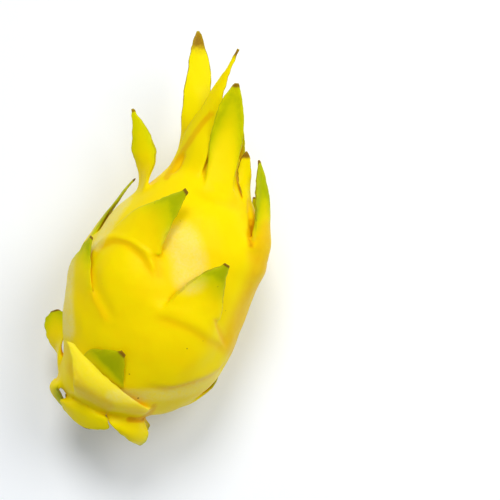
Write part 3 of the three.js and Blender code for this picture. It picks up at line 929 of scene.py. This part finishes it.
def growStrip(turn, length, spread, width, curl, thickness):
    plan = flowerPlan
    kneeAlong, kneeOut = plan["knee"]
    foot = aroundAxis(turn, plan["foot"], plan["coreRadius"] / 2)
    tip = aroundAxis(turn + curl, plan["foot"] + length, spread)
    knee = aroundAxis(turn + curl / 3, plan["foot"] + kneeAlong * length, kneeOut * spread)
    side = Vector((math.cos(math.radians(turn)), 0, -math.sin(math.radians(turn))))
    deselectAll()
    bpy.ops.mesh.primitive_plane_add(size=mm, location=(0, 0, 0))
    strip = bpy.context.object
    bpy.ops.object.mode_set(mode="EDIT")
    bpy.ops.mesh.select_mode(type="FACE")
    bpy.ops.mesh.select_all(action="SELECT")
    corners = [(-1, -1), (1, -1), (1, 1), (-1, 1)]
    for step in range(plan["steps"] + 1):
        if step:
            bpy.ops.mesh.extrude_region_move()
        s = step / plan["steps"]
        tangent = ((knee - foot) * (1 - s) + (tip - knee) * s).normalized()
        across = Quaternion(tangent, math.radians(curl * 1.5) * s) @ side
        outward = across.cross(tangent).normalized()
        centre = foot * (1 - s) ** 2 + knee * 2 * s * (1 - s) + tip * s ** 2
        half = width / 2 * (1 - plan["taper"] * s ** 2)
        edit = bmesh.from_edit_mesh(strip.data)
        chosen = next(face for face in edit.faces if face.select)
        for vert, (a, b) in zip(chosen.verts, corners):
            crease = 1 + plan["crease"] * math.sin(9 * s + turn + a)
            vert.co = (centre + across * a * half * crease + outward * b * thickness) * mm
        bmesh.update_edit_mesh(strip.data)
    bpy.ops.mesh.select_all(action="SELECT")
    bpy.ops.mesh.normals_make_consistent(inside=False)
    bpy.ops.object.mode_set(mode="OBJECT")
    return strip


def makeDriedFlower():
    plan = flowerPlan
    axis = aroundAxis(0, plan["foot"], 0)
    deselectAll()
    bpy.ops.mesh.primitive_cylinder_add(
        vertices=20, radius=plan["coreRadius"] * 0.6 * mm, depth=mm, rotation=(math.radians(-90), 0, 0),
        location=Vector((axis.x, axis.y - plan["coreDepth"], axis.z)) * mm,
    )
    core = bpy.context.object
    bpy.ops.object.transform_apply(location=True, rotation=True, scale=True)
    bpy.ops.object.mode_set(mode="EDIT")
    bpy.ops.mesh.select_mode(type="FACE")
    edit = bmesh.from_edit_mesh(core.data)
    for face in edit.faces:
        face.select_set(face.normal.y > 0.9)
    bmesh.update_edit_mesh(core.data)
    for step, wider in plan["coreSteps"]:
        bpy.ops.mesh.extrude_region_move(TRANSFORM_OT_translate={"value": (0, step * mm, 0)})
        bpy.ops.transform.resize(value=(wider, 1, wider), center_override=axis * mm)
    bpy.ops.mesh.inset(thickness=0.4 * mm)
    bpy.ops.object.mode_set(mode="OBJECT")

    strips = [growStrip(*strip, plan["thickness"]) for strip in plan["strips"]]
    for i in range(plan["threads"]):
        turn = 137.5 * i
        length = 10 + 3 * math.sin(2.1 * i)
        curl = 28 * math.sin(1.7 * i)
        spread = 2.2 + (i % 4) * 0.7
        width, thickness = plan["threadWidth"], plan["threadThickness"]
        strips.append(growStrip(turn, length, spread, width, curl, thickness))
    deselectAll()
    for piece in strips:
        piece.select_set(True)
    core.select_set(True)
    bpy.context.view_layer.objects.active = core
    bpy.ops.object.join()
    core.name = "withered_flower"
    applyModifier(core, "SUBSURF", levels=2, render_levels=2)
    points = readPoints(core)
    far, size = plan["wrinkles"]
    writePoints(core, points + far * noiseField(points, size, 4))
    bpy.ops.object.shade_smooth()
    core.data.materials.clear()
    core.data.materials.append(flowerMaterial())
    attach(core, "root")
    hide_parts("dried_flower")
    print("withered flower done")


def flowerMaterial():
    material, value, shader = newMaterial("dry brown petals", Subsurface_Weight=0.05)
    grain = value.cloud(1.2, 4, (1, 0.25, 1))
    broad = value.cloud(4, 2)
    colour = value.make("ShaderNodeValToRGB", {"stops": [
        (0.3, srgb(46, 28, 16)[:3]), (0.5, srgb(104, 68, 36)[:3]), (0.72, srgb(172, 132, 84)[:3]),
    ]}, {0: grain * 0.6 + broad * 0.4})
    feed(material, shader, "Base Color", colour)
    feed(material, shader, "Roughness", 0.75 + (grain - 0.5) * 0.2)
    feed(material, shader, "Normal", value.bump(grain, 0.6, 0.25))
    return material


makeDriedFlower()


# The cut stub of the stem: a green rind, shrunk a little behind its cut end, round a dry tan core
stubPlan = {
    "radius": 5.7,
    "ends": (-56, -64),
    "sides": 40,
    "startShare": 0.86,  # of the radius, where it starts
    "startLength": 0.8,
    # the share of its length that each step takes, and how much wider it is than the one before
    "steps": [(0.12, 1.15), (0.28, 0.96), (0.25, 0.98), (0.2, 1.06), (0.12, 0.97), (0.03, 0.9)],
    "rind": 0.9,
    "dish": [0.35, 0.1, -0.1],  # how far the cut end has dried inwards, ring by ring
    "ringWidth": 0.9,
    "grooves": (0.18, 2.2),
}


def makeStemStub():
    plan = stubPlan
    top, end = plan["ends"]
    axis = aroundAxis(0, top, 0)
    endAt = aroundAxis(0, end, 0).y
    deselectAll()
    start = plan["startLength"]
    bpy.ops.mesh.primitive_cylinder_add(
        vertices=plan["sides"], radius=plan["startShare"] * plan["radius"] * mm, depth=start * mm,
        location=Vector((axis.x, axis.y - start / 2, axis.z)) * mm, rotation=(math.radians(90), 0, 0),
    )
    stub = bpy.context.object
    bpy.ops.object.transform_apply(location=True, rotation=True, scale=True)
    bpy.ops.object.mode_set(mode="EDIT")
    bpy.ops.mesh.select_mode(type="FACE")
    edit = bmesh.from_edit_mesh(stub.data)
    for face in edit.faces:
        face.select_set(face.normal.y < -0.9)
    bmesh.update_edit_mesh(stub.data)
    centre = axis * mm
    length = axis.y - start - endAt
    for share, wider in plan["steps"]:
        bpy.ops.mesh.extrude_region_move(TRANSFORM_OT_translate={"value": (0, -share * length * mm, 0)})
        bpy.ops.transform.resize(value=(wider, 1, wider), center_override=centre)
    bpy.ops.mesh.inset(thickness=plan["rind"] * mm)
    for depth in plan["dish"]:
        bpy.ops.mesh.inset(thickness=plan["ringWidth"] * mm)
        bpy.ops.transform.translate(value=(0, depth * mm, 0))
    bpy.ops.object.mode_set(mode="OBJECT")
    stub.name = "cut_stem"
    applyModifier(stub, "SUBSURF", levels=2, render_levels=2)
    points = readPoints(stub)
    far, size = plan["grooves"]
    stretched = points * numpy.array((1, 0.2, 1))
    field = noiseField(stretched, size, 5)
    writePoints(stub, points + far * field * numpy.array((1, 0.3, 1)))
    bpy.ops.object.shade_smooth()
    stub.data.materials.clear()
    stub.data.materials.append(stubMaterial(axis, endAt))
    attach(stub, "root")
    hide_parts("stem_stub")
    print("stem stub done")


def stubMaterial(axis, endAt):
    material, value, shader = newMaterial("cut green stem", Subsurface_Weight=0.05)
    where = value.make("ShaderNodeTexCoord", None, None, 3)
    offset = tuple(-axis * mm)
    moved = value.make("ShaderNodeVectorMath", {"operation": "ADD"}, {0: where, 1: offset})
    x = value.make("ShaderNodeSeparateXYZ", None, {0: moved}, 0)
    y = value.make("ShaderNodeSeparateXYZ", None, {0: moved}, 1)
    z = value.make("ShaderNodeSeparateXYZ", None, {0: moved}, 2)
    radius = (x * x + z * z).maths("SQRT") / mm
    fromEnd = y / mm - (endAt - axis.y)
    grain = value.cloud(1.1, 4, (1, 0.2, 1))
    pith = value.cloud(0.6, 3)
    rind = value.make("ShaderNodeValToRGB", {"stops": [
        (0.3, srgb(92, 104, 34)[:3]), (0.55, srgb(134, 142, 52)[:3]), (0.75, srgb(168, 142, 86)[:3]),
    ]}, {0: grain})
    cut = value.make("ShaderNodeValToRGB", {"stops": [
        (0.3, srgb(120, 88, 52)[:3]), (0.6, srgb(190, 158, 108)[:3]),
    ]}, {0: pith * 0.5 + (radius * 5).maths("SINE") * 0.08 + 0.25})
    cutShare = (1 - (radius + (grain - 0.5) * 0.6).between(4.0, 4.6)) * (1 - fromEnd.between(0.5, 1.2))
    colour = rind.blend(cut, cutShare)
    feed(material, shader, "Base Color", colour)
    feed(material, shader, "Roughness", 0.7 + (grain - 0.5) * 0.2)
    feed(material, shader, "Normal", value.bump(grain, 0.5, 0.25))
    return material


makeStemStub()


# The table, the light and the camera, in metres
studio = {
    "floor": srgb(252, 253, 255),
    "floorSize": 6,
    "sky": (0.86, 0.93, 1, 1),
    "skyStrength": 0.42,
    "sunStrength": 1.45,
    "sunTurn": (math.radians(-36), 0, math.radians(20)),
    "sunAngle": math.radians(22),
    "softboxAt": (0.35, 0.38, 0.72),
    "softboxTo": (0, 0, 0.04),
    "softboxSize": 0.5,
    "softboxPower": 3.0,
    "cameraHeight": 0.9,
    "planeHeight": 0.041,
    "viewWidth": 0.23,  # of the plane at that height, across the whole picture
    "cameraAt": (0.0337, 0.0276),
    "roll": 17,
    "sensor": 36,  # millimetres, as the lens
}


def makeStudio():
    bpy.ops.mesh.primitive_plane_add(size=studio["floorSize"], location=(0, 0, 0))
    floor = bpy.context.object
    floor.name = "table"
    floor.data.materials.append(newMaterial("pale table", Base_Color=studio["floor"], Roughness=0.6)[0])

    world = bpy.context.scene.world or bpy.data.worlds.new("studio")
    bpy.context.scene.world = world
    world.use_nodes = True
    background = world.node_tree.nodes["Background"]
    background.inputs["Color"].default_value = studio["sky"]
    background.inputs["Strength"].default_value = studio["skyStrength"]

    bpy.ops.object.light_add(type="SUN", rotation=studio["sunTurn"])
    sun = bpy.context.object
    sun.name = "window light"
    sun.data.energy = studio["sunStrength"]
    sun.data.angle = studio["sunAngle"]

    place, target = Vector(studio["softboxAt"]), Vector(studio["softboxTo"])
    bpy.ops.object.light_add(type="AREA", location=place)
    softbox = bpy.context.object
    softbox.name = "softbox"
    softbox.data.shape = "DISK"
    softbox.data.size = studio["softboxSize"]
    softbox.data.energy = studio["softboxPower"]
    softbox.rotation_euler = (target - place).to_track_quat("-Z", "Y").to_euler()

    bpy.ops.object.camera_add()
    camera = bpy.context.object
    camera.location = (*studio["cameraAt"], studio["cameraHeight"])
    camera.rotation_euler = (0, 0, math.radians(studio["roll"]))
    distance = studio["cameraHeight"] - studio["planeHeight"]
    camera.data.sensor_width = studio["sensor"]
    camera.data.lens = studio["sensor"] * distance / studio["viewWidth"]
    camera.data.clip_start = 0.05
    bpy.context.scene.camera = camera
    bpy.context.scene.view_settings.view_transform = "Standard"
    print("studio done")


makeStudio()
